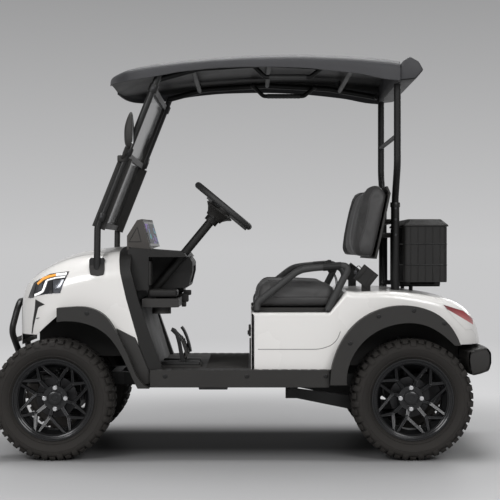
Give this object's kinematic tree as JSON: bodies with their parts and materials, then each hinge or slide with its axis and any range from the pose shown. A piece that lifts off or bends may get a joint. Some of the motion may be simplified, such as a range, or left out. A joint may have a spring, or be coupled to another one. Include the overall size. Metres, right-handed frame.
{
  "type": "golf cart",
  "caption": "Electric two-seat golf cart with canopy roof, folding windscreen, bench seat, rear basket, bull bar and steered front wheels",
  "frame": {"origin": "on the ground under the middle of the overall length and width", "axes": "front at -X, left side at -Y, up +Z"},
  "size_m": [2.384, 1.272, 1.9579],
  "materials": {
    "body_white": "gloss",
    "black_plastic": "fine grain",
    "grey_plastic": "fine grain",
    "roof_grey": "fine grain",
    "frame_black": "satin",
    "steel": "bare",
    "rim_gunmetal": "satin",
    "tyre_rubber": "matte",
    "floor_rubber": "ribbed",
    "grip_rubber": "matte",
    "battery_case": "smooth",
    "seat_vinyl": "matte vinyl",
    "lamp_lens": "clear lens over dark reflector",
    "red_lens": "gloss",
    "display_black": "gloss",
    "clear_screen": "clear"
  },
  "bodies": {
    "cart": {"chassis_frame": "frame_black", "suspension_arms": "frame_black", "shock_absorbers": "steel", "steering_box": "frame_black", "rear_axle": "steel", "trailing_arms": "frame_black", "battery_pack": "battery_case", "floor_pan": "floor_rubber", "sills": "black_plastic", "front_cowl": "body_white", "front_grille": "black_plastic", "headlamps": "lamp_lens", "wheel_flares": "black_plastic", "cowl_liner": "black_plastic", "dashboard": "black_plastic", "console_tray": "grey_plastic", "display": "display_black", "steering_column": "black_plastic", "pedals": "floor_rubber", "front_struts": "frame_black", "windscreen_frame": "black_plastic", "windscreen_glass": "clear_screen", "mirrors": "black_plastic", "roof": "roof_grey", "roof_rails": "frame_black", "roof_bows": "frame_black", "grab_handles": "frame_black", "rear_pillars": "frame_black", "rear_body": "body_white", "tail_lamps": "red_lens", "rear_bumper": "black_plastic", "bull_bar": "frame_black", "backrest": "seat_vinyl", "backrest_shell": "black_plastic", "armrests": "frame_black", "belt_reels": "black_plastic", "rear_basket": "black_plastic"},
    "seat": {"seat_base": "black_plastic", "seat_cushion": "seat_vinyl"},
    "steering_wheel": {"steering_wheel": "grip_rubber"},
    "knuckle_left": {"knuckle_left": "steel"},
    "knuckle_right": {"knuckle_right": "steel"},
    "tie_rod": {"tie_rod": "steel"},
    "pitman_arm": {"pitman_arm": "steel"},
    "wheel_front_left": {"tyre_front_left": "tyre_rubber", "rim_front_left": "rim_gunmetal"},
    "wheel_front_right": {"tyre_front_right": "tyre_rubber", "rim_front_right": "rim_gunmetal"},
    "wheel_rear_left": {"tyre_rear_left": "tyre_rubber", "rim_rear_left": "rim_gunmetal"},
    "wheel_rear_right": {"tyre_rear_right": "tyre_rubber", "rim_rear_right": "rim_gunmetal"}
  },
  "joints": [
    {"name": "left_steer", "type": "hinge", "parent": "cart", "child": "knuckle_left", "pos_m": [-0.904, -0.36, 0.288], "axis": [0, 0, 1], "range_deg": [-28, 28]},
    {"name": "right_steer", "type": "hinge", "parent": "cart", "child": "knuckle_right", "pos_m": [-0.904, 0.36, 0.288], "axis": [0, 0, 1], "range_deg": [-28, 28]},
    {"name": "tie_rod_swing", "type": "hinge", "parent": "knuckle_left", "child": "tie_rod", "pos_m": [-0.784, -0.36, 0.298], "axis": [0, 0, 1], "range_deg": [-28, 28]},
    {"name": "pitman_swing", "type": "hinge", "parent": "cart", "child": "pitman_arm", "pos_m": [-0.904, -0.06, 0.298], "axis": [0, 0, 1], "range_deg": [-28, 28]},
    {"name": "steering_turn", "type": "hinge", "parent": "cart", "child": "steering_wheel", "pos_m": [-0.099, -0.27, 1.218], "axis": [0.6361, 0, 0.7716], "range_deg": [-336, 336]},
    {"name": "seat_tip", "type": "hinge", "parent": "cart", "child": "seat", "pos_m": [0.046, 0, 0.7113], "axis": [0, -1, 0], "range_deg": [0, 60]},
    {"name": "front_left_roll", "type": "hinge", "parent": "knuckle_left", "child": "wheel_front_left", "pos_m": [-0.904, -0.475, 0.288], "axis": [0, 1, 0], "continuous": true},
    {"name": "front_right_roll", "type": "hinge", "parent": "knuckle_right", "child": "wheel_front_right", "pos_m": [-0.904, 0.475, 0.288], "axis": [0, 1, 0], "continuous": true},
    {"name": "rear_left_roll", "type": "hinge", "parent": "cart", "child": "wheel_rear_left", "pos_m": [0.806, -0.475, 0.288], "axis": [0, 1, 0], "continuous": true},
    {"name": "rear_right_roll", "type": "hinge", "parent": "cart", "child": "wheel_rear_right", "pos_m": [0.806, 0.475, 0.288], "axis": [0, 1, 0], "continuous": true}
  ],
  "couplings": [
    {"joint": "right_steer", "follows": "left_steer", "ratio": 1},
    {"joint": "tie_rod_swing", "follows": "left_steer", "ratio": -1},
    {"joint": "pitman_swing", "follows": "left_steer", "ratio": 1},
    {"joint": "steering_turn", "follows": "left_steer", "ratio": 12}
  ]
}
